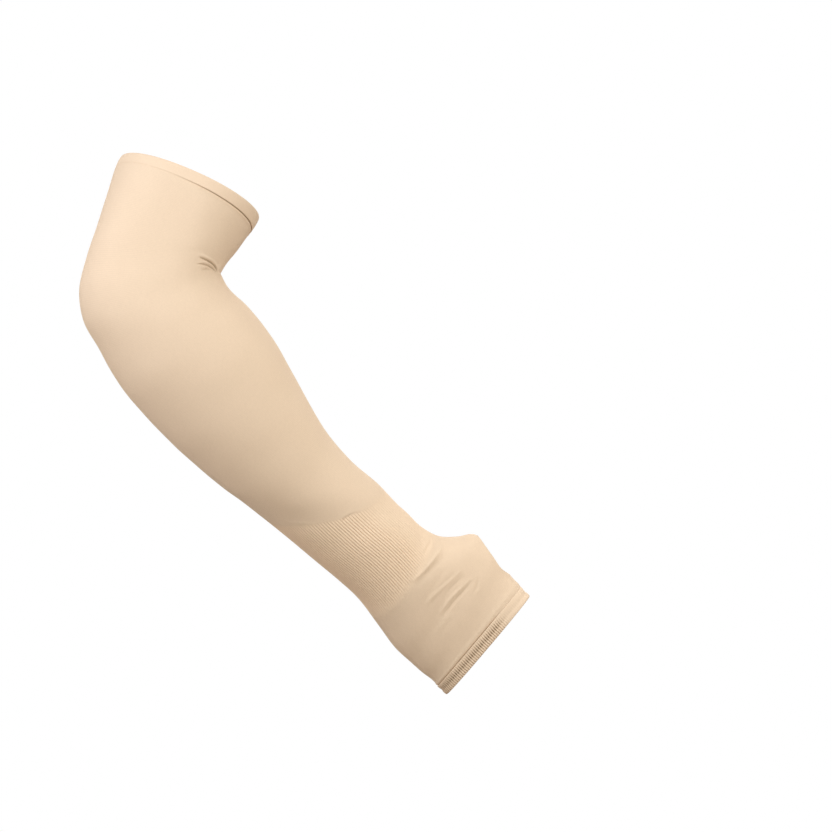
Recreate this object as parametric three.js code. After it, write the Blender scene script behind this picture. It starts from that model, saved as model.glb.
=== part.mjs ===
// A long knitted arm sleeve with a hand piece, in the form it has on a bent right arm.
// Millimetres, +Z up. The origin is the middle of the upper arm opening, the upper arm stands upright,
// the forearm points forward along +X and down, and the back of the hand faces -Y.
import * as THREE from 'three';
import { mergeVertices } from 'three/addons/utils/BufferGeometryUtils.js';

// Cloth sizes
const jerseyWall = 1.2; // plain knit, one layer
const ribWall = 1.3; // ribbed knit under its ribs
const weltWall = 2.4; // plain knit turned over and doubled
const hemWall = 2.6; // ribbed edge, doubled
const weltProud = 0.4; // how far the upper band stands out from the tube
const hemProud = 0.5; // how far the palm band stands out from the hand piece
const bandEdgeRound = 0.8; // rounding of the bands' edges
const seamGap = 0.4; // clear space between two pieces, along the arm
const ribCount = 108; // ribs round the wrist
const ribHeight = 0.5; // crest above groove
const ribTwist = 0.00075; // share of a turn that the ribs wind round the wrist for each millimetre

// Where the kinds of knit meet, as lengths along the middle line from the upper arm opening
const weltDepth = 8.8;
const ribFrom = 250;
const ribTo = 319;
const hemDepth = 8.6;

// The thumb opening is a slit in the thumb side of the hand piece, spread open by the thumb.
// near and far are its half widths along the cloth, towards the back of the hand and the palm.
const thumbHole = { from: 352.5, to: 378, near: 12, far: 16 };

// Faces round and along each piece
const tubeSides = 32;
const tubeRings = 29;
const ribRings = 5;
const mittSides = 40;
const mittRings = 23;
const bandSides = 40;

// Cross sections from the upper arm opening down to the palm opening.
// out is the point on the elbow and little finger side, in the one on the crook and thumb side, both in the
// plane of the bend. near and far are the half depths towards -Y and +Y of midY. rise is how far the near side
// of a course of stitches lies towards the shoulder, and slant how far its thumb side lies towards the hand.
// full is 2 for an ellipse and more for a blunter form.
const columns = ['outX', 'outZ', 'inX', 'inZ', 'midY', 'near', 'far', 'rise', 'slant', 'full'];
const sections = [
  [-48.5, -1, 49.5, -0.5, 0, 47, 47, 10.5, 0, 2.1], // rim
  [-48.5, -10, 48, -10.5, -2.5, 47, 47, 12, 0, 2.2], // foot of the upper band
  [-46, -28.5, 45.5, -23, -7, 45, 45, 10, 0, 2.45], // upper arm
  [-43.5, -50, 43, -34, -12, 42.5, 42, 7, 0, 2.55],
  [-41, -69.5, 42, -41, -16, 41, 40, 4, 0, 2.45], // elbow
  [-37, -90, 43, -44, -19, 40.5, 39, 1, 0, 2.25],
  [-27, -107, 47, -47.5, -20, 41, 39.5, -1, 0, 2.1],
  [-8.5, -121, 55, -52, -20, 42, 41, -3, 0, 2],
  [13.5, -137, 68, -56.5, -18, 43, 42, -5, 3, 2], // forearm
  [42, -150.5, 86.5, -66, -14, 42.5, 42, -7, 7, 2],
  [71, -161.5, 105.5, -79.5, -9, 40.5, 40, -9, 11, 2],
  [97, -168.5, 124, -93.5, -4, 37.5, 37, -10, 14, 2],
  [121, -173.5, 145, -109, 1, 33.5, 33, -11.5, 21, 2],
  [145.5, -180.5, 168, -120.5, 6, 30.5, 29.5, -12, 24.5, 2], // ribbed zone
  [169.5, -188, 191, -128, 11, 28.5, 27, -11.5, 15, 2],
  [192.5, -194.5, 212, -135.5, 15, 26.5, 25, -10.5, 5, 2],
  [212, -202, 230.5, -141.5, 19, 24.5, 23, -10, -1.5, 2.05], // wrist
  [230, -212, 243.5, -141.5, 21, 23.5, 25, -8.5, -2.5, 2.1], // heel of the hand
  [245.5, -220.5, 253.5, -137, 22.5, 22.5, 27, -6, -1.5, 2.2],
  [258, -225, 262, -131.5, 24, 21.5, 27, -3.5, 0, 2.25], // thumb opening
  [267.5, -228, 278, -135, 25, 20.5, 25, -2, 0, 2.25],
  [275.5, -230, 291.5, -145, 26, 19, 21.5, -0.6, 0.2, 2.25],
  [281, -232, 304, -151, 26.5, 18, 19, -0.2, 0.3, 2.25], // palm band
  [288, -234.5, 311, -153.5, 27, 17.5, 18.5, -0.6, 0.3, 2.25],
].map((row) => Object.fromEntries(columns.map((column, i) => [column, row[i]])));

// Folds in the cloth, as ridges along a line from one point to another. along is a station, around a share of
// a turn from the thumb side over the near side, width the half width, and a negative height is a valley.
const folds = [
  { from: { along: 50, around: 0.14 }, to: { along: 62, around: 0.04 }, width: 4, height: -1.6 }, // crook
  { from: { along: 328, around: 0.06 }, to: { along: 318, around: 0.28 }, width: 3, height: 1 }, // hand
  { from: { along: 337, around: 0.11 }, to: { along: 330, around: 0.3 }, width: 3, height: -0.9 },
  { from: { along: 351, around: 0.12 }, to: { along: 335, around: 0.3 }, width: 3, height: 1 },
  { from: { along: 360, around: 0.13 }, to: { along: 349, around: 0.33 }, width: 3, height: -1.3 },
];
const foldSteps = 24;

// Stations: the length of the middle line from the rim to each section.
const stations = [0];
for (let i = 1; i < sections.length; i += 1) {
  const [before, here] = [sections[i - 1], sections[i]];
  const stepX = (here.outX + here.inX - before.outX - before.inX) / 2;
  const stepZ = (here.outZ + here.inZ - before.outZ - before.inZ) / 2;
  stations.push(stations[i - 1] + Math.hypot(stepX, stepZ));
}
const sleeveEnd = stations.at(-1);
const hemFrom = sleeveEnd - hemDepth;

// Smooth value of one column at a station: a cubic through the rows, with slopes from the neighbouring rows.
function columnAt(column, station) {
  const last = sections.length - 2;
  const after = stations.findIndex((s) => s > station);
  const row = after < 0 ? last : Math.max(0, after - 1);
  const chord = (i) => (sections[i + 1][column] - sections[i][column]) / (stations[i + 1] - stations[i]);
  const slope = (i) => {
    if (i === 0) return chord(0);
    if (i > last) return chord(last);
    const [back, ahead] = [stations[i] - stations[i - 1], stations[i + 1] - stations[i]];
    return (chord(i - 1) * ahead + chord(i) * back) / (back + ahead);
  };
  const length = stations[row + 1] - stations[row];
  const t = (station - stations[row]) / length;
  const [a, b] = [sections[row][column], sections[row + 1][column]];
  return (
    (2 * t ** 3 - 3 * t ** 2 + 1) * a +
    (t ** 3 - 2 * t ** 2 + t) * length * slope(row) +
    (3 * t ** 2 - 2 * t ** 3) * b +
    (t ** 3 - t ** 2) * length * slope(row + 1)
  );
}

const signedPower = (value, power) => Math.sign(value) * Math.abs(value) ** power;

// One course of stitches as a closed curve. At angle 0 it is on the thumb side, at a quarter turn on the near
// side. lift moves the curve outwards, square to itself.
function courseCurve(station) {
  const value = (column) => columnAt(column, station);
  const slant = value('slant');
  const [outX, outZ] = ['outX', 'outZ'].map((column) => columnAt(column, station - slant));
  const [inX, inZ] = ['inX', 'inZ'].map((column) => columnAt(column, station + slant));
  const [midY, near, far, full] = ['midY', 'near', 'far', 'full'].map(value);
  const halfWidth = Math.hypot(inX - outX, inZ - outZ) / 2;
  const [acrossX, acrossZ] = [(inX - outX) / 2 / halfWidth, (inZ - outZ) / 2 / halfWidth];
  const lean = value('rise') / near;
  return (angle, lift = 0) => {
    const depth = Math.sin(angle) >= 0 ? near : far;
    const a = signedPower(Math.cos(angle), 2 / full);
    const b = signedPower(Math.sin(angle), 2 / full);
    const outwards = [signedPower(a, full - 1) / halfWidth, signedPower(b, full - 1) / depth];
    const size = Math.hypot(...outwards);
    const across = a * halfWidth + (lift * outwards[0]) / size;
    const nearer = b * depth + (lift * outwards[1]) / size;
    return new THREE.Vector3(
      (outX + inX) / 2 + acrossX * across - acrossZ * lean * nearer,
      midY - nearer,
      (outZ + inZ) / 2 + acrossZ * across + acrossX * lean * nearer,
    );
  };
}

// Angles that split the near half and the far half of a course into equal lengths of cloth, with its girth.
const samplesPerHalf = 120;
function evenAngles(curve) {
  const halves = [0, Math.PI].map((start) => {
    const angles = Array.from({ length: samplesPerHalf + 1 }, (_, i) => start + (Math.PI * i) / samplesPerHalf);
    const lengths = [0];
    for (let i = 1; i <= samplesPerHalf; i += 1)
      lengths.push(lengths[i - 1] + curve(angles[i]).distanceTo(curve(angles[i - 1])));
    return { angles, lengths, length: lengths[samplesPerHalf] };
  });
  const angleAt = (anyTurn) => {
    const turn = anyTurn - Math.floor(anyTurn);
    const half = halves[turn < 0.5 ? 0 : 1];
    const wanted = (turn < 0.5 ? turn : turn - 0.5) * 2 * half.length;
    const found = half.lengths.findIndex((s) => s >= wanted);
    const i = found < 0 ? samplesPerHalf : Math.max(1, found);
    const share = (wanted - half.lengths[i - 1]) / (half.lengths[i] - half.lengths[i - 1]);
    return half.angles[i - 1] + share * (half.angles[i] - half.angles[i - 1]);
  };
  return { angleAt, girth: halves[0].length + halves[1].length };
}

// Points along each fold's line on the smooth cloth, each with its share of the fold's height.
const foldLines = folds.map(({ from, to, width, height }) => {
  const points = Array.from({ length: foldSteps + 1 }, (_, i) => {
    const share = i / foldSteps;
    const curve = courseCurve(from.along + share * (to.along - from.along));
    const angle = evenAngles(curve).angleAt(from.around + share * (to.around - from.around));
    return { place: curve(angle), height: height * Math.sin(Math.PI * share) };
  });
  return { points, width };
});

// How far the folds lift the cloth at a place: each fold's nearest point, fading over the fold's width.
function foldLift(place) {
  let lift = 0;
  for (const { points, width } of foldLines) {
    const nearest = points.reduce((a, b) => (a.place.distanceTo(place) < b.place.distanceTo(place) ? a : b));
    lift += nearest.height * Math.exp(-((nearest.place.distanceTo(place) / width) ** 2));
  }
  return lift;
}

// A ring of cloth points at a station. lift(turn, place) moves each one off the table's outline, near and far
// are how far the two edges of the thumb slit have been pushed apart, and twist turns the whole ring.
function clothRing(station, sides, lift, { near = 0, far = 0, twist = 0 } = {}) {
  const curve = courseCurve(station);
  const { angleAt, girth } = evenAngles(curve);
  return Array.from({ length: sides + 1 }, (_, i) => {
    const turn = i / sides;
    const pushed = turn + twist + (near / girth) * (1 - turn) ** 6 - (far / girth) * turn ** 6;
    const angle = angleAt(pushed);
    return curve(angle, lift(turn, curve(angle)));
  });
}

// A wall of cloth between rows of outer and inner rings, closed at both ends. Rows that slit lists are open
// along the thumb side, and their two edges are closed from the outer face to the inner one.
function clothWall(outer, inner, slit = []) {
  const positions = [];
  const face = (...corners) => corners.forEach((p) => positions.push(p.x, p.y, p.z));
  const quad = (a, b, c, d) => {
    face(a, b, d);
    face(b, c, d);
  };
  const skin = (rings, facing) => {
    for (let i = 0; i + 1 < rings.length; i += 1)
      for (let j = 0; j + 1 < rings[i].length; j += 1) {
        const corners = [rings[i][j], rings[i][j + 1], rings[i + 1][j + 1], rings[i + 1][j]];
        quad(...(facing === 'out' ? corners : corners.reverse()));
      }
  };
  // Joins two rings that may have different numbers of points, by stepping along whichever lags.
  const endFace = (ringA, ringB) => {
    let [i, j] = [0, 0];
    const [lastA, lastB] = [ringA.length - 1, ringB.length - 1];
    while (i < lastA || j < lastB) {
      if (j === lastB || (i < lastA && (i + 1) / lastA <= (j + 1) / lastB)) {
        face(ringA[i], ringB[j], ringA[i + 1]);
        i += 1;
      } else {
        face(ringA[i], ringB[j], ringB[j + 1]);
        j += 1;
      }
    }
  };
  skin(outer, 'out');
  skin(inner, 'in');
  endFace(outer[0], inner[0]);
  endFace(inner.at(-1), outer.at(-1));
  for (const i of slit) {
    quad(outer[i][0], outer[i + 1][0], inner[i + 1][0], inner[i][0]);
    quad(inner[i].at(-1), inner[i + 1].at(-1), outer[i + 1].at(-1), outer[i].at(-1));
  }
  const geometry = new THREE.BufferGeometry();
  geometry.setAttribute('position', new THREE.Float32BufferAttribute(positions, 3));
  const merged = mergeVertices(geometry, 1e-3);
  merged.computeVertexNormals();
  return merged;
}

const spaced = (from, to, count) =>
  Array.from({ length: count }, (_, i) => from + ((to - from) * i) / (count - 1));

// Plain tube over the upper arm, the elbow and the forearm.
function armTube() {
  const rows = spaced(weltDepth + seamGap / 2, ribFrom - seamGap / 2, tubeRings);
  const ringAt = (s, depth) => clothRing(s, tubeSides, (turn, place) => foldLift(place) - depth);
  return clothWall(
    rows.map((s) => ringAt(s, 0)),
    rows.map((s) => ringAt(s, jerseyWall)),
  );
}

// Ribbed zone: crests and grooves alternate round the outside, and the inside is plain.
function wristRib() {
  const rows = spaced(ribFrom + seamGap / 2, ribTo - seamGap / 2, ribRings);
  const ribSides = 2 * ribCount;
  const ribLift = (turn) => (Math.round(turn * ribSides) % 2 === 0 ? ribHeight / 2 : -ribHeight / 2);
  const wound = (s) => ({ twist: ribTwist * (s - ribFrom) });
  const outer = rows.map((s) => clothRing(s, ribSides, ribLift, wound(s)));
  const inner = rows.map((s) => clothRing(s, tubeSides, () => -ribWall, wound(s)));
  return clothWall(outer, inner);
}

// Hand piece, with the slit for the thumb spread into an oval.
function handMitt() {
  const [top, foot] = [ribTo + seamGap / 2, hemFrom - seamGap / 2];
  const halfSlit = (thumbHole.to - thumbHole.from) / 2;
  const slitMiddle = thumbHole.from + halfSlit;
  const above = Math.round((mittRings * (thumbHole.from - top)) / (foot - top));
  const below = 2;
  const inSlit = mittRings - above - below;
  const slitRow = (_, i) => slitMiddle - halfSlit * Math.cos((Math.PI * i) / inSlit);
  const rows = [
    ...spaced(top, thumbHole.from, above + 1).slice(0, -1),
    ...Array.from({ length: inSlit + 1 }, slitRow),
    ...spaced(thumbHole.to, foot, below + 1).slice(1),
  ];
  const spreadAt = (s) => {
    const share = (s - slitMiddle) / halfSlit;
    const open = Math.sqrt(Math.max(0, 1 - share ** 2));
    return { near: thumbHole.near * open, far: thumbHole.far * open };
  };
  const ringAt = (s, depth) =>
    clothRing(s, mittSides, (turn, place) => foldLift(place) - depth, spreadAt(s));
  const slit = Array.from({ length: inSlit }, (_, i) => above + i);
  return clothWall(
    rows.map((s) => ringAt(s, 0)),
    rows.map((s) => ringAt(s, jerseyWall)),
    slit,
  );
}

// A doubled band with rounded edges, from one station to another.
function edgeBand(from, to, wall, proud) {
  const rows = [from, from + bandEdgeRound, (from + to) / 2, to - bandEdgeRound, to];
  const rounding = [bandEdgeRound, 0, 0, 0, bandEdgeRound];
  const outer = rows.map((s, i) => clothRing(s, bandSides, () => proud - rounding[i]));
  const inner = rows.map((s, i) => clothRing(s, bandSides, () => proud - wall + rounding[i]));
  return clothWall(outer, inner);
}

const upperWelt = () => edgeBand(0, weltDepth - seamGap / 2, weltWall, weltProud);
const palmHem = () => edgeBand(hemFrom + seamGap / 2, sleeveEnd, hemWall, hemProud);

// Beige knit, a little deeper in the bands, where it lies double.
const knit = (color) => new THREE.MeshStandardMaterial({ color, roughness: 0.9, metalness: 0 });
const jersey = knit(0xe9cfae);
const ribbed = knit(0xe3c8a6);
const band = knit(0xe0c6a2);

const sleeve = new THREE.Group();
sleeve.name = 'arm_sleeve';
const pieces = [
  ['upper_welt', upperWelt, band],
  ['arm_tube', armTube, jersey],
  ['wrist_rib', wristRib, ribbed],
  ['hand_mitt', handMitt, jersey],
  ['palm_hem', palmHem, band],
];
for (const [name, make, material] of pieces) {
  const mesh = new THREE.Mesh(make(), material);
  mesh.name = name;
  sleeve.add(mesh);
}

export default sleeve;
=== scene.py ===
import math

import bpy
import numpy as np
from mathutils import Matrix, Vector


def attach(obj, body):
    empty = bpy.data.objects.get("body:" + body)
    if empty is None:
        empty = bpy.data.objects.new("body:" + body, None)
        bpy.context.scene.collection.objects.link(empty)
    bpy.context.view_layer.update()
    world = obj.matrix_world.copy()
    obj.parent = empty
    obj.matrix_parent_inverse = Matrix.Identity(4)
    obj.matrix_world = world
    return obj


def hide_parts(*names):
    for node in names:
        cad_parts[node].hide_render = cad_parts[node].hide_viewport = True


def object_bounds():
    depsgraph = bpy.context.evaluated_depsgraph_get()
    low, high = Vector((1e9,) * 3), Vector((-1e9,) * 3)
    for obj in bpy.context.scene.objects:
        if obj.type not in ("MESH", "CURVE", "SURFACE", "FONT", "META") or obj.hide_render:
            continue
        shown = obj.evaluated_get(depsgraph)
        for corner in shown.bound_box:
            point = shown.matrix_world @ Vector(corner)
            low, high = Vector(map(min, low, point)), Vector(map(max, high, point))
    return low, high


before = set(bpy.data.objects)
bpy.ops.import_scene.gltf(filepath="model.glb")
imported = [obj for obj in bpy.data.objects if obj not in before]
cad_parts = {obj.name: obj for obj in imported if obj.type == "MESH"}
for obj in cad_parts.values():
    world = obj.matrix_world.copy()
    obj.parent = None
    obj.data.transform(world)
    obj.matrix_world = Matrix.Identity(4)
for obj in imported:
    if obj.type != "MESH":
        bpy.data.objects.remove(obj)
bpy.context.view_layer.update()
print("frame loaded:", ", ".join(sorted(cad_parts)))

# Lengths are millimetres until a mesh or a light is placed.
metre = 0.001

# The sleeve's cross sections, rim to palm edge. out is the side of the elbow, in that of the crook and the
# thumb opening, near and far the half depths towards -Y and +Y of midY, rise and slant how a course of
# stitches leans, and full the bluntness (2 is an ellipse).
sleeveForm = {
    "columns": ("outX", "outZ", "inX", "inZ", "midY", "near", "far", "rise", "slant", "full"),
    "rows": (
        (-48.5, -1, 49.5, -0.5, 0, 47, 47, 10.5, 0, 2.1),  # rim
        (-48.5, -10, 48, -10.5, -2.5, 47, 47, 12, 0, 2.2),
        (-46, -28.5, 45.5, -23, -7, 45, 45, 10, 0, 2.45),  # upper tube
        (-43.5, -50, 43, -34, -12, 42.5, 42, 7, 0, 2.55),
        (-41, -69.5, 42, -41, -16, 41, 40, 4, 0, 2.45),  # elbow
        (-37, -90, 43, -44, -19, 40.5, 39, 1, 0, 2.25),
        (-27, -107, 47, -47.5, -20, 41, 39.5, -1, 0, 2.1),
        (-8.5, -121, 55, -52, -20, 42, 41, -3, 0, 2),
        (13.5, -137, 68, -56.5, -18, 43, 42, -5, 3, 2),  # forearm zone
        (42, -150.5, 86.5, -66, -14, 42.5, 42, -7, 7, 2),
        (71, -161.5, 105.5, -79.5, -9, 40.5, 40, -9, 11, 2),
        (97, -168.5, 124, -93.5, -4, 37.5, 37, -10, 14, 2),
        (121, -173.5, 145, -109, 1, 33.5, 33, -11.5, 21, 2),
        (145.5, -180.5, 168, -120.5, 6, 30.5, 29.5, -12, 24.5, 2),  # ribbed zone
        (169.5, -188, 191, -128, 11, 28.5, 27, -11.5, 15, 2),
        (192.5, -194.5, 212, -135.5, 15, 26.5, 25, -10.5, 5, 2),
        (212, -202, 230.5, -141.5, 19, 24.5, 23, -10, -1.5, 2.05),  # wrist end
        (230, -212, 243.5, -141.5, 21, 23.5, 25, -8.5, -2.5, 2.1),
        (245.5, -220.5, 253.5, -137, 22.5, 22.5, 27, -6, -1.5, 2.2),
        (258, -225, 262, -131.5, 24, 21.5, 27, -3.5, 0, 2.25),  # thumb opening
        (267.5, -228, 278, -135, 25, 20.5, 25, -2, 0, 2.25),
        (275.5, -230, 291.5, -145, 26, 19, 21.5, -0.6, 0.2, 2.25),
        (281, -232, 304, -151, 26.5, 18, 19, -0.2, 0.3, 2.25),  # palm band
        (288, -234.5, 311, -153.5, 27, 17.5, 18.5, -0.6, 0.3, 2.25),
    ),
    "weltDepth": 8.8,
    "ribFrom": 250,
    "ribTo": 319,
    "hemDepth": 8.6,
    "waleCount": 288,  # stitch columns round the tube
    "coursePitch": 0.85,  # stitch rows along it
    "halfSteps": 160,  # samples that measure half a course
}
formTable = np.array(sleeveForm["rows"], float)
formMiddle = (formTable[:, 0:2] + formTable[:, 2:4]) / 2
formSteps = np.hypot(*np.diff(formMiddle, axis=0).T)
formStations = np.concatenate([[0], np.cumsum(formSteps)])
sleeveEnd = formStations[-1]
hemFrom = sleeveEnd - sleeveForm["hemDepth"]


# Each column at the stations: a cubic between rows, its slopes weighted from the neighbouring chords.
def columnValues(along):
    last = len(formSteps) - 1
    row = np.clip(np.searchsorted(formStations, along, side="right") - 1, 0, last)
    chord = np.diff(formTable, axis=0) / formSteps[:, None]
    slope = np.empty_like(formTable)
    slope[0] = chord[0]
    slope[-1] = chord[-1]
    back = formSteps[:-1, None]
    ahead = formSteps[1:, None]
    slope[1:-1] = (chord[:-1] * ahead + chord[1:] * back) / (back + ahead)
    step = formSteps[row][:, None]
    t = (along - formStations[row])[:, None] / step
    rising = 3 * t**2 - 2 * t**3
    ends = (1 - rising) * formTable[row] + rising * formTable[row + 1]
    return ends + step * ((t**3 - 2 * t**2 + t) * slope[row] + (t**3 - t**2) * slope[row + 1])


# The size of a value raised to a power, with its sign kept.
def signedPower(value, power):
    return np.sign(value) * np.abs(value) ** power


# Points on courses of stitches: a superellipse between the out and in points, leaning by rise towards the
# rim on its near side, and moved outwards by lift, square to itself.
def coursePoints(values, angle, lift):
    outX, outZ, inX, inZ, midY, near, far, rise, slant, full = np.moveaxis(values, 1, 0)[..., None]
    halfWidth = np.hypot(inX - outX, inZ - outZ) / 2
    acrossX = (inX - outX) / 2 / halfWidth
    acrossZ = (inZ - outZ) / 2 / halfWidth
    lean = rise / near
    depth = np.where(np.sin(angle) >= 0, near, far)
    a = signedPower(np.cos(angle), 2 / full)
    b = signedPower(np.sin(angle), 2 / full)
    outA = signedPower(a, full - 1) / halfWidth
    outB = signedPower(b, full - 1) / depth
    size = np.hypot(outA, outB)
    across = a * halfWidth + lift * outA / size
    nearer = b * depth + lift * outB / size
    x = (outX + inX) / 2 + acrossX * across - acrossZ * lean * nearer
    z = (outZ + inZ) / 2 + acrossZ * across + acrossX * lean * nearer
    return np.stack([x, midY - nearer, z], axis=-1)


# Points of the cloth at stations along (one a row) and turns (0 in, 0.25 near, 0.5 out, 0.75 far). A slanted
# course takes its out point from earlier stations and its in point from later ones. The angles split the near
# and far half of each course into equal lengths. Also gives each course's girth.
def clothPoints(along, turn, lift=0.0):
    values = columnValues(along)
    slant = values[:, sleeveForm["columns"].index("slant")]
    values[:, 0:2] = columnValues(along - slant)[:, 0:2]
    values[:, 2:4] = columnValues(along + slant)[:, 2:4]
    halfSteps = sleeveForm["halfSteps"]
    sample = np.linspace(0, 2 * np.pi, 2 * halfSteps + 1)[None, :]
    ring = coursePoints(values, sample, 0.0)
    run = np.cumsum(np.linalg.norm(np.diff(ring, axis=1), axis=-1), axis=1)
    run = np.concatenate([np.zeros((len(along), 1)), run], axis=1)
    nearRun = run[:, halfSteps, None]
    farRun = run[:, -1:] - nearRun
    wrapped = np.mod(turn, 1.0) + (turn == 1.0)
    wanted = np.where(wrapped < 0.5, wrapped * 2 * nearRun, nearRun + (wrapped - 0.5) * 2 * farRun)
    apart = (np.arange(len(along)) * (run[:, -1].max() + 1.0))[:, None]
    angle = np.interp((wanted + apart).ravel(), (run + apart).ravel(), np.tile(sample[0], len(along)))
    return coursePoints(values, angle.reshape(wanted.shape), lift), run[:, -1]


# Folds: each follows points given as (along, turn). A negative height is a valley, and shade is the painted
# shade in its bottom.
clothFolds = (
    {"path": ((4, 0.215), (25, 0.19), (46, 0.155)), "width": 8.0, "height": 0.6},  # front of the upper tube
    {"path": ((51.3, 0.142), (51.6, 0.131), (52.2, 0.117), (54, 0.097), (56.4, 0.077), (60.5, 0.058),
              (65.5, 0.053)),
     "width": 0.47, "height": -1.2, "shade": 1.4},  # crook
    {"path": ((49.7, 0.15), (49.8, 0.137), (50, 0.123), (51.5, 0.101), (53.7, 0.08), (57.2, 0.06)),
     "width": 0.9, "height": 0.45},
    {"path": ((54.9, 0.135), (54.6, 0.124), (54.3, 0.108), (56.2, 0.09), (59.4, 0.071)),
     "width": 0.75, "height": 0.4},
    {"path": ((57.3, 0.14), (56.8, 0.128), (56.6, 0.107), (58.9, 0.089), (61.9, 0.071), (65, 0.058)),
     "width": 0.44, "height": -0.85, "shade": 0.85},
    {"path": ((59.6, 0.125), (59.2, 0.109), (60.4, 0.091)), "width": 0.8, "height": 0.25},
    {"path": ((63.2, 0.12), (61.7, 0.109), (61.8, 0.088)), "width": 0.8, "height": -0.3, "shade": 0.2},
    {"path": ((52, 0.064), (56, 0.048), (62, 0.043)), "width": 1.6, "height": 0.4},
    {"path": ((62, 0.045), (63.5, 0.0), (62, -0.05)), "width": 1.3, "height": -0.6},
    {"path": ((50, -0.15), (53.5, -0.1), (61, -0.065)),
     "width": 0.7, "height": -1.1, "shade": 0.5},  # far side of it
    {"path": ((48.5, -0.15), (52, -0.095)), "width": 1.0, "height": 0.4},
    {"path": ((56, -0.14), (58, -0.1), (62, -0.07)), "width": 0.6, "height": -0.8, "shade": 0.4},
    {"path": ((53.5, -0.13), (55.5, -0.1), (60, -0.07)), "width": 0.8, "height": 0.35},
    {"path": ((95, 0.1), (99, 0.06), (104, 0.01)), "width": 1.2, "height": -0.16},  # forearm zone
    {"path": ((112, 0.09), (116, 0.05), (120, 0.0)), "width": 1.2, "height": -0.14},
    {"path": ((250, 0.147), (248.2, 0.169), (249, 0.189), (251.4, 0.209)),
     "width": 1.0, "height": 0.15},  # rib border
    {"path": ((251.4, 0.15), (250.2, 0.173), (251.5, 0.195), (253.8, 0.215)), "width": 0.9, "height": -0.17},
    {"path": ((245.5, 0.38), (248, 0.35), (248.8, 0.316), (250.4, 0.285)), "width": 0.8, "height": 0.22},
    {"path": ((316.2, 0.04), (316.2, 0.09), (315.2, 0.117), (314.8, 0.155)),
     "width": 1.1, "height": -0.36},  # wrist end
    {"path": ((311.5, 0.055), (312.5, 0.103), (312.2, 0.135)), "width": 1.8, "height": 0.14},
    {"path": ((328, 0.07), (323.8, 0.129), (320.5, 0.185), (316.8, 0.25)),
     "width": 1.2, "height": 0.65},  # hand piece
    {"path": ((333, 0.09), (327.8, 0.14), (323.8, 0.189), (322, 0.25)),
     "width": 2.0, "height": -0.5, "shade": 0.1},
    {"path": ((338, 0.14), (334, 0.2), (332, 0.28)), "width": 2.0, "height": -0.2},
    {"path": ((347, 0.158), (341.5, 0.191), (337, 0.235)), "width": 1.5, "height": -0.38, "shade": 0.08},
    {"path": ((350.6, 0.146), (344.2, 0.183), (338.8, 0.224), (334.6, 0.283)), "width": 1.3, "height": 0.55},
    {"path": ((354, 0.16), (349.4, 0.196), (345, 0.24)), "width": 1.2, "height": -0.35, "shade": 0.1},
    {"path": ((358, 0.156), (354.5, 0.202), (351, 0.248), (349.2, 0.295)), "width": 1.2, "height": 0.5},
    {"path": ((359.8, 0.152), (357.5, 0.199), (354.8, 0.243), (352.5, 0.295)),
     "width": 1.1, "height": -0.58, "shade": 0.12},
    {"path": ((361.6, 0.136), (363.8, 0.159), (363.5, 0.188)), "width": 0.9, "height": -0.36, "shade": 0.1},
    {"path": ((366.5, 0.15), (367, 0.175)), "width": 1.0, "height": 0.2},
    {"path": ((357.5, 0.27), (355.5, 0.31), (353, 0.36)), "width": 1.8, "height": 0.25},
    {"path": ((318, -0.03), (319, -0.12), (317, -0.22)), "width": 1.4, "height": -0.7},  # its far side
    {"path": ((326, -0.04), (325, -0.14), (322, -0.27)), "width": 1.8, "height": 0.6},
    {"path": ((333, -0.07), (331, -0.16), (327, -0.28)), "width": 1.8, "height": -0.6},
    {"path": ((345, -0.13), (341, -0.2), (335, -0.3)), "width": 2.0, "height": 0.5},
    {"path": ((355, -0.16), (350, -0.23), (345, -0.31)), "width": 1.8, "height": -0.5},
)
# A fold's line is a cubic near its points, in this many steps. It thins out at both ends as a sine arch to
# the power taper, and ends sideways at reach times its width.
foldForm = {"steps": 48, "degree": 3, "taper": 0.6, "reach": 3.2}
# Slow swell of the whole cloth, from two waves given as (height, length along, waves round). The second one
# is shifted, and comes and goes over fadeLength.
clothSwell = {"first": (0.14, 7.5, 2), "second": (0.12, 4.6, 3), "shift": 1.3, "fadeLength": 21}
foldLines = []
for fold in clothFolds:
    share = np.linspace(0, 1, foldForm["steps"])
    knots = np.array(fold["path"])
    marks = np.linspace(0, 1, len(knots))
    bend = np.polyfit(marks, knots, min(foldForm["degree"], len(knots) - 1))
    foldPath = np.stack([np.polyval(bend[:, i], share) for i in (0, 1)], axis=1)
    line = clothPoints(foldPath[:, 0], foldPath[:, 1:2])[0][:, 0]
    taper = np.sin(np.pi * share) ** foldForm["taper"]
    foldLines.append((line, fold["width"], fold["height"], fold.get("shade", 0.0), taper))
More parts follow.
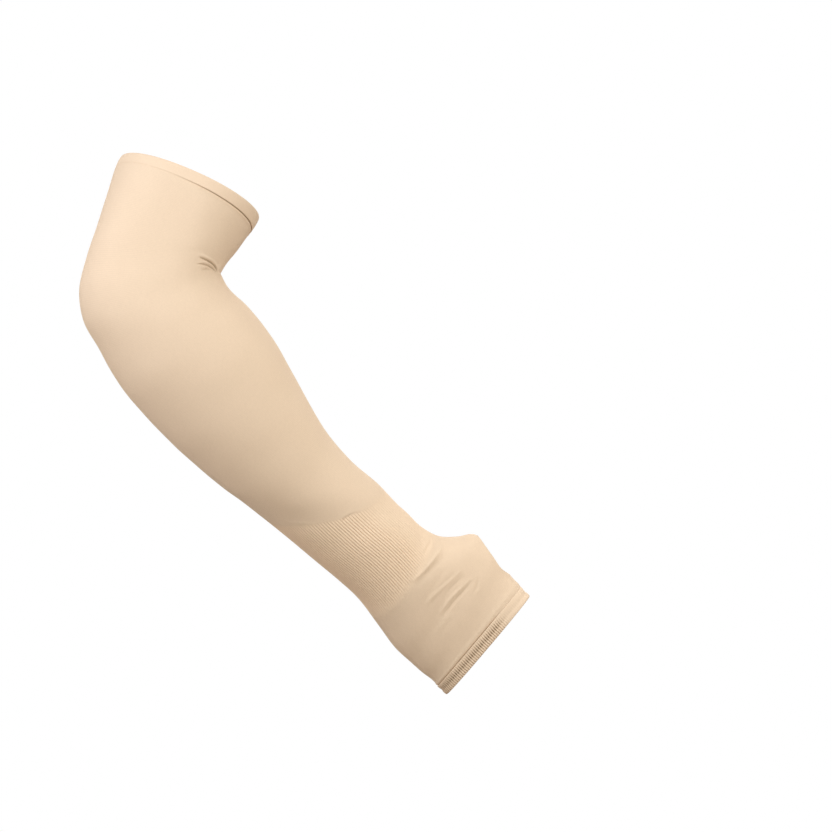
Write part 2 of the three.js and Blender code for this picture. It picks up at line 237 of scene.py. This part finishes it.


# How far the folds lift the cloth, and how much painted shade they get: each fold's nearest point, fading
# as a bell over its width, and for the lift the swell as well.
def foldLift(points, along, turn):
    flat = points.reshape(-1, 3)
    lift = np.zeros(len(flat))
    dark = np.zeros(len(flat))
    for line, width, height, shade, taper in foldLines:
        reach = foldForm["reach"] * width
        close = np.all((flat > line.min(0) - reach) & (flat < line.max(0) + reach), axis=1)
        picked = flat[close]
        gap = np.linalg.norm(picked[:, None, :] - line[None, :, :], axis=-1)
        nearest = gap.argmin(axis=1)
        bell = taper[nearest] * np.exp(-((gap.min(axis=1) / width) ** 2))
        lift[close] += height * bell
        dark[close] += shade * bell
    whole = 2 * np.pi * turn
    row = along[:, None]
    height, length, waves = clothSwell["first"]
    swell = height * np.sin(row / length + waves * whole)
    height, length, waves = clothSwell["second"]
    second = height * np.sin(row / length - waves * whole + clothSwell["shift"])
    swell = swell + second * np.sin(row / clothSwell["fadeLength"] + whole)
    return lift.reshape(points.shape[:2]) + swell, dark.reshape(points.shape[:2])


# Cloth at stations and turns with its folds, moved outwards by lift, and the painted shade in its folds.
def foldedCloth(along, turn, lift):
    folds, dark = foldLift(clothPoints(along, turn)[0], along, turn)
    return clothPoints(along, turn, lift + folds)[0], dark


# How finely crowded grids are measured, and how close the row beside a border is.
gridLook = {"fineSteps": 4000, "borderRow": 0.03}


# Values from start to end that crowd together near each focus, given as (middle, spread, gain): their density
# is 1 plus the gain times a flat-topped bell.
def crowded(start, end, count, focuses):
    fine = np.linspace(start, end, gridLook["fineSteps"])
    weight = np.ones_like(fine)
    for middle, spread, gain in focuses:
        weight += gain * np.exp(-(((fine - middle) / spread) ** 4))
    run = np.concatenate([[0], np.cumsum((weight[1:] + weight[:-1]) / 2)])
    return np.interp(np.linspace(0, run[-1], count), run, fine)


# The same rows with one more close beside each end, so that shading stays even up to the border.
def withBorders(rows):
    first = rows[:1] + gridLook["borderRow"]
    last = rows[-1:] - gridLook["borderRow"]
    return np.concatenate([rows[:1], first, rows[1:-1], last, rows[-1:]])


# Soft step from 0 to 1 between two values: three times the squared share of the way, less twice its cube.
def softStep(value, low, high):
    share = np.clip((value - low) / (high - low), 0, 1)
    return share * share * (3 - 2 * share)


# A mesh from corner points on grids: place joins corners that share a point, and the rest is by corner.
# Each point also carries the painted shade it gets in seams, creases and grooves, 0 to 1, and on the ribs a
# darker tone where they lie flat. The faces in flatFaces are shaded flat.
def putMesh(name, points, place, faces, uv, paintedShadeAndTone, flatFaces):
    used, number = np.unique(place[faces], return_inverse=True)
    mesh = bpy.data.meshes.new(name)
    mesh.from_pydata((points[used] * metre).tolist(), [], number.reshape(faces.shape).tolist())
    mesh.uv_layers.new(name="stitches").data.foreach_set("uv", uv[faces].astype(np.float32).ravel())
    depth = mesh.attributes.new("paintedShadeAndTone", "FLOAT", "POINT")
    depth.data.foreach_set("value", paintedShadeAndTone[used].astype(np.float32))
    mesh.polygons.foreach_set("use_smooth", ~flatFaces)
    mesh.update()
    piece = bpy.data.objects.new(name, mesh)
    bpy.context.scene.collection.objects.link(piece)
    return piece


# Quads between neighbouring rows and columns of a grid of corner numbers.
def gridFaces(corners):
    quads = (corners[:-1, :-1], corners[:-1, 1:], corners[1:, 1:], corners[1:, :-1])
    return np.stack(quads, axis=-1).reshape(-1, 4)


# A closed wall from an outer and an inner grid whose first and last column meet. openRows are the rows where
# a slit keeps them apart: there a rounded lip, one line of points wide, closes the wall along both edges.
def putWall(name, outer, inner, uvOuter, uvInner, paintedShadeAndTone, openRows=(), lip=0.0):
    columns = outer.shape[1] - 1
    outerIds = np.arange(outer[..., 0].size).reshape(outer.shape[:2])
    innerIds = outerIds.size + np.arange(inner[..., 0].size).reshape(inner.shape[:2])
    points = [outer.reshape(-1, 3), inner.reshape(-1, 3)]
    uvs = [uvOuter.reshape(-1, 2), uvInner.reshape(-1, 2)]
    place = np.arange(outerIds.size + innerIds.size)
    for ids in (outerIds, innerIds):
        shut = np.setdiff1d(np.arange(len(ids)), openRows)
        place[ids[shut, columns]] = ids[shut, 0]
    faces = [gridFaces(outerIds), gridFaces(innerIds)[:, ::-1]]
    if len(openRows):
        rows = np.arange(openRows[0] - 1, openRows[-1] + 2)
        bulge = lip * np.sin(np.pi * np.linspace(0, 1, len(rows)))[:, None]
        for edge, inside in ((0, 1), (columns, columns - 1)):
            away = outer[rows, edge] - outer[rows, inside]
            away = away / np.linalg.norm(away, axis=1, keepdims=True)
            points.append((outer[rows, edge] + inner[rows, edge]) / 2 + bulge * away)
            uvs.append(uvOuter[rows, edge])
            lipIds = len(place) + np.arange(len(rows))
            place = np.concatenate([place, lipIds])
            if edge:
                place[lipIds[[0, -1]]] = lipIds[[0, -1]] - len(rows)
            across = [outerIds[rows, edge], lipIds, innerIds[rows, edge]]
            for first, second in zip(across[:-1], across[1:]):
                strip = np.stack([first[:-1], first[1:], second[1:], second[:-1]], axis=-1)
                faces.append(strip if edge == 0 else strip[:, ::-1])
    smoothCount = sum(len(part) for part in faces)
    startEdge = (outerIds[0, :-1], innerIds[0, :-1], innerIds[0, 1:], outerIds[0, 1:])
    endEdge = (outerIds[-1, 1:], innerIds[-1, 1:], innerIds[-1, :-1], outerIds[-1, :-1])
    faces.append(np.stack(startEdge, axis=-1))
    faces.append(np.stack(endEdge, axis=-1))
    faces = np.concatenate(faces)
    deep = np.zeros(len(place))
    deep[: outerIds.size] = np.broadcast_to(paintedShadeAndTone, outerIds.shape).ravel()
    flatFaces = np.arange(len(faces)) >= smoothCount
    return putMesh(name, np.concatenate(points), place, faces, np.concatenate(uvs), deep, flatFaces)


# A ring with a closed profile: rows go round the profile, columns round the sleeve, and both close on
# themselves.
def putRing(name, grid, uv, paintedShadeAndTone):
    ids = np.arange(grid[..., 0].size).reshape(grid.shape[:2])
    place = ids.copy()
    place[:, -1] = place[:, 0]
    place[-1] = place[0]
    faces = gridFaces(ids)
    deep = np.broadcast_to(paintedShadeAndTone, ids.shape).ravel()
    flatFaces = np.zeros(len(faces), bool)
    return putMesh(name, grid.reshape(-1, 3), place.ravel(), faces, uv.reshape(-1, 2), deep, flatFaces)


# Outline of a band's cut edge, as stations and lifts: a superellipse that starts at the rim end, runs down
# the outside and comes back up the inside. bluntness is that of the start and of the end. Also gives the
# share of the way down, and 1 outside to -1 inside.
def bandProfile(start, end, wall, steps, bluntness):
    angle = np.linspace(np.pi, -np.pi, steps + 1)
    power = 2 / np.where(np.cos(angle) < 0, *bluntness)
    down = signedPower(np.cos(angle), power)
    out = signedPower(np.sin(angle), power)
    along = (start + end) / 2 + down * (end - start) / 2
    return along, (out - 1) * wall / 2, (down + 1) / 2, out


# Stitch counts as a UV map: columns of stitches round the sleeve, rows of them along it.
def stitchCounts(along, turn, perTurn):
    across = np.broadcast_to(turn * perTurn, (len(along), turn.shape[-1]))
    rows = np.broadcast_to(along[:, None] / sleeveForm["coursePitch"], across.shape)
    return np.stack([across, rows], axis=-1)


# Rib relief: rounded crests and narrow grooves, from the size of a sine wave to the power sharpness, less 1.
def ribRelief(turn, count, sharpness):
    return np.abs(np.sin(np.pi * turn * count)) ** sharpness - 1


# A math node, whose inputs are sockets or plain numbers.
def mathNode(tree, operation, *inputs):
    node = tree.nodes.new("ShaderNodeMath")
    node.operation = operation
    for i, value in enumerate(inputs):
        if isinstance(value, (int, float)):
            node.inputs[i].default_value = value
        else:
            tree.links.new(value, node.inputs[i])
    return node.outputs[0]


# A colour between two, each a socket or plain numbers, by a factor.
def mixNode(tree, factor, first, second):
    node = tree.nodes.new("ShaderNodeMix")
    node.data_type = "RGBA"
    tree.links.new(factor, node.inputs[0])
    colours = [socket for socket in node.inputs if socket.type == "RGBA"]
    for socket, colour in zip(colours, (first, second)):
        if isinstance(colour, tuple):
            socket.default_value = (*colour, 1)
        else:
            tree.links.new(colour, socket)
    return [socket for socket in node.outputs if socket.type == "RGBA"][0]


# A noise from 0 to 1 at the coordinates.
def noiseNode(tree, coordinates, scale, detail):
    node = tree.nodes.new("ShaderNodeTexNoise")
    node.inputs["Scale"].default_value = scale
    node.inputs["Detail"].default_value = detail
    tree.links.new(coordinates, node.inputs["Vector"])
    return node.outputs["Fac"]


# A shade times a factor round 1 that follows a noise by an amount.
def varied(tree, shade, noise, amount):
    factor = mathNode(tree, "MULTIPLY_ADD", noise, amount, 1.0 - amount / 2)
    return mathNode(tree, "MULTIPLY", shade, factor)


# Height of a knit stitch over the UV map: each loop is two legs that lean together. A leg is a ridge with a
# parabola as its section, legAt from the stitch's middle, and it dips where one loop leaves the next.
def stitchHeight(tree, look):
    uvMap = tree.nodes.new("ShaderNodeUVMap")
    uvMap.uv_map = "stitches"
    split = tree.nodes.new("ShaderNodeSeparateXYZ")
    tree.links.new(uvMap.outputs["UV"], split.inputs[0])
    across = mathNode(tree, "SUBTRACT", mathNode(tree, "FRACT", split.outputs[0]), 0.5)
    fromMiddle = mathNode(tree, "ABSOLUTE", across)
    legOff = mathNode(tree, "MULTIPLY_ADD", fromMiddle, 1.0 / look["legAt"], -1.0)
    leg = mathNode(tree, "SUBTRACT", 1.0, mathNode(tree, "MULTIPLY", legOff, legOff))
    leaning = mathNode(tree, "MULTIPLY_ADD", fromMiddle, look["legSlope"], split.outputs[1])
    row = mathNode(tree, "FRACT", leaning)
    loopOff = mathNode(tree, "MULTIPLY_ADD", row, 2.0, -1.0)
    loop = mathNode(tree, "SUBTRACT", 1.0, mathNode(tree, "MULTIPLY", loopOff, loopOff))
    dip = mathNode(tree, "MULTIPLY_ADD", loop, look["loopDip"], 1.0 - look["loopDip"])
    return mathNode(tree, "MULTIPLY", leg, dip)


# Knit finish: stitches raise the surface and get painted shade in their gaps, hollows get painted shade
# from the mesh's attribute, and noises give flecks of yarn, uneven dye and fine hair.
def knitFinish(name, look):
    material = bpy.data.materials.new(name)
    material.use_nodes = True
    tree = material.node_tree
    shader = tree.nodes["Principled BSDF"]
    shader.inputs["Sheen Weight"].default_value = look["sheen"]
    shader.inputs["Sheen Roughness"].default_value = look["sheenRoughness"]
    shader.inputs["Sheen Tint"].default_value = (*look["sheenTint"], 1)
    shader.inputs["Specular IOR Level"].default_value = look["specular"]
    place = tree.nodes.new("ShaderNodeTexCoord").outputs["Object"]
    fuzz = noiseNode(tree, place, *look["fuzzGrain"])
    fleck = noiseNode(tree, place, *look["fleckGrain"])
    patch = noiseNode(tree, place, *look["patchGrain"])
    paintedShadeAndTone = tree.nodes.new("ShaderNodeAttribute")
    paintedShadeAndTone.attribute_name = "paintedShadeAndTone"
    stitch = stitchHeight(tree, look)
    # Painted shade in the gaps between the legs and loops of the stitches.
    shade = mathNode(tree, "MULTIPLY_ADD", stitch, look["stitchShade"], 1.0 - look["stitchShade"])
    shade = varied(tree, varied(tree, shade, fleck, look["fleck"]), patch, look["patch"])
    # Painted shade in seams, creases and grooves from the mesh's attribute, which on the ribs also holds a
    # darker tone where they lie flat.
    hollow = mathNode(tree, "MULTIPLY_ADD", paintedShadeAndTone.outputs["Fac"], -look["cavityShade"], 1.0)
    shade = mathNode(tree, "MULTIPLY", shade, hollow)
    tree.links.new(mixNode(tree, shade, look["deep"], look["light"]), shader.inputs["Base Color"])
    smoothest = look["roughness"] - look["roughnessSpread"] / 2
    rough = mathNode(tree, "MULTIPLY_ADD", fuzz, look["roughnessSpread"], smoothest)
    tree.links.new(rough, shader.inputs["Roughness"])
    bump = tree.nodes.new("ShaderNodeBump")
    bump.inputs["Strength"].default_value = look["bump"]
    bump.inputs["Distance"].default_value = look["stitchHeight"] * metre
    tree.links.new(mathNode(tree, "MULTIPLY_ADD", fuzz, look["fuzz"], stitch), bump.inputs["Height"])
    tree.links.new(bump.outputs["Normal"], shader.inputs["Normal"])
    return material


# The looks: plain knit, and what the other knits change in it. A grain is the scale and detail of a noise.
# deep is the tone that painted shade goes towards; the ribbed knit is lighter to make up for the shade in its
# grooves.
jerseyLook = {
    "light": (0.85, 0.643, 0.452), "deep": (0.36, 0.235, 0.13), "roughness": 0.88, "roughnessSpread": 0.16,
    "sheen": 0.1, "sheenRoughness": 0.45, "sheenTint": (1.0, 0.9, 0.78), "specular": 0.25, "legAt": 0.25,
    "legSlope": 1.1, "loopDip": 0.5, "stitchShade": 0.26, "cavityShade": 0.7, "fleck": 0.13, "patch": 0.06,
    "fuzz": 0.4, "bump": 0.5, "stitchHeight": 0.25, "fuzzGrain": (2600.0, 3.0), "fleckGrain": (700.0, 2.0),
    "patchGrain": (45.0, 3.0),
}
ribLook = dict(jerseyLook, light=(0.89, 0.673, 0.473), stitchShade=0.08, cavityShade=0.3, bump=0.35)
bandLook = dict(jerseyLook, light=(0.875, 0.662, 0.466), fleck=0.08)
hemLook = dict(jerseyLook, light=(0.815, 0.617, 0.434), deep=(0.28, 0.185, 0.1), stitchShade=0.08,
               cavityShade=1.0, bump=0.4)
jerseyKnit = knitFinish("jersey knit", jerseyLook)
ribKnit = knitFinish("ribbed knit", ribLook)
bandKnit = knitFinish("doubled band knit", bandLook)
hemKnit = knitFinish("palm edge rib knit", hemLook)
print("knit finishes made")


# Every piece takes its finish, rides on the one body and stands for its solid.
def finishPiece(piece, finish):
    piece.data.materials.append(finish)
    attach(piece, "root")
    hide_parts(piece.name.removesuffix("_knit"))
    print(piece.name, len(piece.data.polygons), "faces")


# Turns from a middle, the short way round.
def turnsFrom(turn, middle):
    return np.abs(np.mod(turn - middle + 0.5, 1.0) - 0.5)


# Where the knit is drawn in and where it is slack, in turns from the front (the side of the crook) or from
# the thumb opening.
knitPull = {
    "front": 0.03, "seamEnd": 0.28, "seamFade": 0.15, "ribLeast": 0.3, "ribFade": (0.05, 0.17),
    "thumb": 0.0, "gripLeast": 0.08, "gripFade": (0.13, 0.2),
}


# How deep the upper seam is round the sleeve: a soft step, drawn in at the front and flat at the back.
def upperSeam(turn):
    return softStep(knitPull["seamEnd"] - turnsFrom(turn, knitPull["front"]), 0, knitPull["seamFade"])


# How far the wrist ribs stand up round the sleeve: a soft step, from stretched flatter at the front to full.
def ribStanding(turn):
    least = knitPull["ribLeast"]
    return least + (1 - least) * softStep(turnsFrom(turn, knitPull["front"]), *knitPull["ribFade"])


# How tight the palm band is: a soft step, from slack below the thumb opening to full.
def palmGrip(turn):
    least = knitPull["gripLeast"]
    return least + (1 - least) * softStep(turnsFrom(turn, knitPull["thumb"]), *knitPull["gripFade"])


# Upper band: a doubled, turned edge with a soft belly, its foot drawn in to the seam.
upperWelt = {
    "wall": 2.4, "proud": 0.5, "belly": 0.2, "columns": 360, "steps": 60, "bluntness": (5, 16), "gap": 0.02,
    "seamShade": 0.45, "seamFrom": 0.93, "flat": (0.24, 0.0107),
}
weltTo = sleeveForm["weltDepth"] - upperWelt["gap"]
turn = np.linspace(0, 1, upperWelt["columns"] + 1)[None, :]
along, lift, share, out = bandProfile(
    0, weltTo, upperWelt["wall"], upperWelt["steps"], upperWelt["bluntness"])
lift = lift + upperWelt["belly"] * np.sin(np.pi * share) * np.maximum(out, 0)
grid = foldedCloth(along, turn, lift[:, None] + upperWelt["proud"] * upperSeam(turn))[0]
# Painted shade in the seam at the band's foot, fading round the back where the seam lies flat.
seamShade = upperWelt["seamShade"] * softStep(share, upperWelt["seamFrom"], 1.0)[:, None] * upperSeam(turn)
welt = putRing("upper_welt_knit", grid, stitchCounts(along, turn, sleeveForm["waleCount"]), seamShade)
finishPiece(welt, bandKnit)

# Plain tube: tucked in at the upper seam, with a raised course beside it.
armTube = {
    "wall": 1.2, "rows": 190, "columns": 330, "innerRows": 60, "seamTuck": 0.5, "seamReach": 0.42,
    "bead": 0.35, "beadAt": 1.5, "beadWidth": 0.8, "gap": 0.005, "flat": (0.23, 0.25),
    "crookFocus": (57, 13, 4), "seamFocus": (2.5, 6), "ribFocus": (2.5, 3), "frontFocus": (0.165, 3.5),
}
tubeFrom = sleeveForm["weltDepth"] + upperWelt["gap"]
tubeTo = sleeveForm["ribFrom"] - armTube["gap"]
rowFocuses = (armTube["crookFocus"], (tubeFrom, *armTube["seamFocus"]), (tubeTo, *armTube["ribFocus"]))
along = withBorders(crowded(tubeFrom, tubeTo, armTube["rows"], rowFocuses))
alongInner = np.linspace(tubeFrom, tubeTo, armTube["innerRows"])
turnFocuses = ((0, *armTube["frontFocus"]), (1, *armTube["frontFocus"]))
turn = crowded(0, 1, armTube["columns"] + 1, turnFocuses)[None, :]
seam = np.exp(-(((along - tubeFrom) / armTube["seamReach"]) ** 2))[:, None] * upperSeam(turn)
lift = -armTube["seamTuck"] * seam
bead = np.exp(-(((along - tubeFrom - armTube["beadAt"]) / armTube["beadWidth"]) ** 2))[:, None]
lift += armTube["bead"] * bead * upperSeam(turn)
outer, creaseShade = foldedCloth(along, turn, lift)
inner = foldedCloth(alongInner, turn, -armTube["wall"])[0]
stitches = stitchCounts(along, turn, sleeveForm["waleCount"])
stitchesInner = stitchCounts(alongInner, turn, sleeveForm["waleCount"])
# The tuck at the upper seam and the creases of the folds get painted shade.
tube = putWall("arm_tube_knit", outer, inner, stitches, stitchesInner, np.minimum(seam + creaseShade, 1))
finishPiece(tube, jerseyKnit)

# Ribbed zone: the ribs wind a little round the tube and flatten towards both borders.
wristRib = {
    "wall": 1.5, "count": 108, "samples": 8, "rows": 74, "innerRows": 14, "height": 0.6, "sharpness": 0.75,
    "fadeUpper": 2.0, "fadeLower": 5.0, "twist": 0.00075, "plainShade": 0.66, "gap": 0.005,
    "upperFocus": (4, 2), "lowerFocus": (6, 1), "flat": (0.16, 0.07),
}
ribEnds = sleeveForm["ribFrom"] + wristRib["gap"], sleeveForm["ribTo"] - wristRib["gap"]
rowFocuses = ((ribEnds[0], *wristRib["upperFocus"]), (ribEnds[1], *wristRib["lowerFocus"]))
along = withBorders(crowded(*ribEnds, wristRib["rows"], rowFocuses))
alongInner = np.linspace(*ribEnds, wristRib["innerRows"])
turn = np.linspace(0, 1, wristRib["count"] * wristRib["samples"] + 1)[None, :]
wound = turn + wristRib["twist"] * (along - along[0])[:, None]
woundInner = turn + wristRib["twist"] * (alongInner - along[0])[:, None]
strength = 1 - np.exp(-((along - along[0]) / wristRib["fadeUpper"]))
strength *= 1 - np.exp(-((along[-1] - along) / wristRib["fadeLower"]))
strength = strength[:, None] * ribStanding(wound)
relief = strength * ribRelief(turn, wristRib["count"], wristRib["sharpness"])
outer = foldedCloth(along, wound, wristRib["height"] * relief)[0]
inner = foldedCloth(alongInner, woundInner, -wristRib["wall"])[0]
stitches = stitchCounts(along, turn, wristRib["count"])
stitchesInner = stitchCounts(alongInner, turn, wristRib["count"])
# Painted shade in the grooves between the ribs, plus a darker tone where the ribs lie flat, so that they
# match the plain knit there.
hollows = wristRib["plainShade"] * (1 - strength) - relief
rib = putWall("wrist_rib_knit", outer, inner, stitches, stitchesInner, hollows)
finishPiece(rib, ribKnit)

# Hand piece: the thumb slit's two edges are pushed apart as half an ellipse each, drawn out to a point below,
# and the push fades on the way round by a power. The foot is tucked in under the palm band, with a soft roll
# above the seam.
handMitt = {
    "wall": 1.2, "rowsAbove": 62, "rowsSlit": 56, "rowsBelow": 18, "columns": 320, "footFocus": (2, 3),
    "slitFrom": 352.5, "slitTo": 378, "slitNear": 12, "slitFar": 16, "slitPower": (0.5, 0.75), "slitFade": 6,
    "lip": 0.4, "seamTuck": 0.4, "seamReach": 0.5, "roll": 0.3, "rollAt": 2.2, "rollWidth": 1.4, "gap": 0.005,
    "flat": (0.19, 0.07),
}
mittFrom = sleeveForm["ribTo"] + handMitt["gap"]
mittTo = hemFrom - handMitt["gap"]
slitHalf = (handMitt["slitTo"] - handMitt["slitFrom"]) / 2
slitMiddle = handMitt["slitFrom"] + slitHalf
slitRows = slitMiddle - slitHalf * np.cos(np.linspace(0, np.pi, handMitt["rowsSlit"]))
aboveRows = np.linspace(mittFrom, handMitt["slitFrom"], handMitt["rowsAbove"])[:-1]
rowFocuses = ((mittTo, *handMitt["footFocus"]),)
belowRows = crowded(handMitt["slitTo"], mittTo, handMitt["rowsBelow"], rowFocuses)[1:]
along = withBorders(np.concatenate([aboveRows, slitRows, belowRows]))
slitShape = np.where(along < slitMiddle, *handMitt["slitPower"])
openness = (np.clip(1 - ((along - slitMiddle) / slitHalf) ** 2, 0, None) ** slitShape)[:, None]
evenTurn = np.linspace(0, 1, handMitt["columns"] + 1)[None, :]
girth = clothPoints(along, evenTurn[:, :2])[1][:, None]
fade = handMitt["slitFade"]
spread = handMitt["slitNear"] * (1 - evenTurn) ** fade - handMitt["slitFar"] * evenTurn**fade
turn = evenTurn + openness / girth * spread
seam = np.exp(-(((mittTo - along) / handMitt["seamReach"]) ** 2))[:, None] * palmGrip(turn)
roll = np.exp(-(((mittTo - along - handMitt["rollAt"]) / handMitt["rollWidth"]) ** 2))[:, None]
lift = handMitt["roll"] * roll - handMitt["seamTuck"] * seam
outer, creaseShade = foldedCloth(along, turn, lift)
inner = foldedCloth(along, turn, -handMitt["wall"])[0]
stitches = stitchCounts(along, turn, sleeveForm["waleCount"])
openRows = np.flatnonzero((along > slitRows[0]) & (along < slitRows[-1]))
# The tuck under the palm band and the creases of the folds get painted shade.
hollows = np.minimum(seam + creaseShade, 1)
mitt = putWall("hand_mitt_knit", outer, inner, stitches, stitches, hollows, openRows, handMitt["lip"])
finishPiece(mitt, jerseyKnit)

# Palm band: two soft rolls with a hollow between them, crossed by short ribs that are deepest in the hollow
# and flatter below the thumb opening.
palmHem = {
    "wall": 2.6, "proud": 0.5, "count": 122, "samples": 8, "steps": 64, "bluntness": (12, 4),
    "outsideEdge": (-0.2, 0.6), "lowerEdge": (0.5, 0.75), "hollowAt": 0.46, "hollowWidth": 0.16,
    "hollow": 0.5, "ribHollow": 0.9, "ribUpper": 0.15, "ribLower": 0.45, "sharpness": 1.2,
    "hollowShade": 0.15, "shadeUpper": 0.1, "shadeHollow": 1.0, "shadeLower": 0.32,
    "gap": 0.01, "flat": (0.17, 0.0105),
}
turn = np.linspace(0, 1, palmHem["count"] * palmHem["samples"] + 1)[None, :]
along, lift, share, out = bandProfile(
    hemFrom + palmHem["gap"], sleeveEnd, palmHem["wall"], palmHem["steps"], palmHem["bluntness"])
outside = softStep(out, *palmHem["outsideEdge"])
middle = outside * np.exp(-(((share - palmHem["hollowAt"]) / palmHem["hollowWidth"]) ** 2))
lower = outside * softStep(share, *palmHem["lowerEdge"])
depth = palmHem["ribUpper"] * outside + palmHem["ribHollow"] * middle + palmHem["ribLower"] * lower
relief = palmGrip(turn) * ribRelief(turn, palmHem["count"], palmHem["sharpness"])
lift = (lift - palmHem["hollow"] * middle)[:, None] + palmHem["proud"] * palmGrip(turn)
grid = foldedCloth(along, turn, lift + depth[:, None] * relief)[0]
# Painted shade in the hollow between the rolls and in the grooves of the short ribs.
dark = palmHem["shadeUpper"] * outside + palmHem["shadeHollow"] * middle + palmHem["shadeLower"] * lower
shadow = np.clip(palmHem["hollowShade"] * middle[:, None] - dark[:, None] * relief, 0, 1)
hem = putRing("palm_hem_knit", grid, stitchCounts(along, turn, palmHem["count"]), shadow)
finishPiece(hem, hemKnit)

# Stage: a pale floor well under the sleeve, clear of the main view.
stageLook = {"drop": 0.9, "radius": 0.5, "corners": 96, "floorTone": (0.9, 0.89, 0.87), "roughness": 0.8}
low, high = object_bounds()
spoke = np.linspace(0, 2 * np.pi, stageLook["corners"] + 1)[:-1]
rim = np.stack([np.cos(spoke), np.sin(spoke), np.zeros_like(spoke)], axis=1) * stageLook["radius"]
rim += np.array([(low[0] + high[0]) / 2, 0, low[2] - stageLook["drop"]])
floorMesh = bpy.data.meshes.new("floor")
floorMesh.from_pydata(rim.tolist(), [], [list(range(len(rim)))])
floorObject = bpy.data.objects.new("floor", floorMesh)
bpy.context.scene.collection.objects.link(floorObject)
floorFinish = bpy.data.materials.new("pale floor")
floorFinish.use_nodes = True
floorShader = floorFinish.node_tree.nodes["Principled BSDF"]
floorShader.inputs["Base Color"].default_value = (*stageLook["floorTone"], 1)
floorShader.inputs["Roughness"].default_value = stageLook["roughness"]
floorMesh.materials.append(floorFinish)

# Camera: level, looking along +Y, and rolled so that the upper part of the sleeve leans.
viewLook = {"aim": (0.1952, 0.0, -0.0764), "width": 0.5408, "distance": 4.0, "roll": 24.0, "sensor": 36.0}
rollAngle = math.radians(viewLook["roll"])
right = np.array([math.cos(rollAngle), 0, math.sin(rollAngle)])
upward = np.array([-math.sin(rollAngle), 0, math.cos(rollAngle)])
toCamera = np.array([0, -1.0, 0])
viewAxes = np.stack([right, upward, toCamera])
placed = np.eye(4)
placed[:3, :3] = viewAxes.T
placed[:3, 3] = viewLook["aim"] + toCamera * viewLook["distance"]
cameraData = bpy.data.cameras.new("main view")
cameraData.sensor_width = viewLook["sensor"]
cameraData.lens = viewLook["sensor"] * viewLook["distance"] / viewLook["width"]
cameraObject = bpy.data.objects.new("main view", cameraData)
bpy.context.scene.collection.objects.link(cameraObject)
cameraObject.matrix_world = placed.T.tolist()
bpy.context.scene.camera = cameraObject

# White surround: full white where it is seen. Where it lights the cloth it is graded from a dim tone to a
# bright one by half the cosine from the bright side plus a half. That side is given in the main view, to the
# right, up and towards the camera.
skyLook = {
    "seen": (1.0, 1.0, 1.0), "dim": (0.12, 0.06, 0.02), "bright": (0.92, 0.92, 0.9),
    "towards": (-0.13, 1.0, 0.0),
}
world = bpy.data.worlds.new("white studio")
bpy.context.scene.world = world
world.use_nodes = True
skyTree = world.node_tree
skyPlace = skyTree.nodes.new("ShaderNodeTexCoord")
skySide = skyTree.nodes.new("ShaderNodeVectorMath")
skySide.operation = "DOT_PRODUCT"
skySide.inputs[1].default_value = Vector(np.array(skyLook["towards"]) @ viewAxes).normalized()
skyTree.links.new(skyPlace.outputs["Generated"], skySide.inputs[0])
skyShare = mathNode(skyTree, "MULTIPLY_ADD", skySide.outputs["Value"], 0.5, 0.5)
skyGrade = mixNode(skyTree, skyShare, skyLook["dim"], skyLook["bright"])
seenDirectly = skyTree.nodes.new("ShaderNodeLightPath").outputs["Is Camera Ray"]
skyTone = mixNode(skyTree, seenDirectly, skyGrade, skyLook["seen"])
skyTree.links.new(skyTone, skyTree.nodes["Background"].inputs["Color"])

# Soft boxes: each shines on a point from a direction given in the main view, to the right, up and towards the
# camera.
softBoxes = {
    "top": {"on": (0.0, -0.02, -0.05), "from": (-0.22, 0.8, 0.56), "distance": 0.85,
            "size": 0.55, "watts": 2.4, "tint": (0.68, 0.79, 1.0)},
    "elbow": {"on": (0.0, -0.02, -0.1), "from": (-0.7, 0.1, 0.7), "distance": 0.5,
              "size": 0.3, "watts": 1.4, "tint": (0.81, 0.88, 1.0)},
    "hand": {"on": (0.25, 0.0, -0.16), "from": (0.3, 0.35, 0.88), "distance": 0.7,
             "size": 0.4, "watts": 1.5, "tint": (0.9, 1.0, 1.0)},
    "crook": {"on": (0.07, -0.03, -0.075), "from": (0.45, 0.5, 0.74), "distance": 0.25,
              "size": 0.12, "watts": 0.04, "tint": (0.9, 0.92, 1.0)},
    "thumb": {"on": (0.29, 0.0, -0.17), "from": (0.9, 0.25, 0.35), "distance": 0.45,
              "size": 0.25, "watts": 0.72, "tint": (0.93, 0.95, 1.0)},
    "back": {"on": (0.12, 0.0, -0.1), "from": (0.1, 0.45, -0.9), "distance": 1.6,
             "size": 0.8, "watts": 8.0, "tint": (1.0, 0.97, 0.93)},
}
for name, box in softBoxes.items():
    lamp = bpy.data.lights.new(name, "AREA")
    lamp.color = box["tint"]
    lamp.energy = box["watts"]
    lamp.shape = "DISK"
    lamp.size = box["size"]
    lampObject = bpy.data.objects.new(name, lamp)
    bpy.context.scene.collection.objects.link(lampObject)
    toLamp = Vector(np.array(box["from"]) @ viewAxes).normalized()
    lampObject.location = Vector(box["on"]) + toLamp * box["distance"]
    lampObject.rotation_mode = "QUATERNION"
    lampObject.rotation_quaternion = toLamp.to_track_quat("Z", "Y")
bpy.context.scene.view_settings.view_transform = "Standard"
print("stage, camera and lights placed")
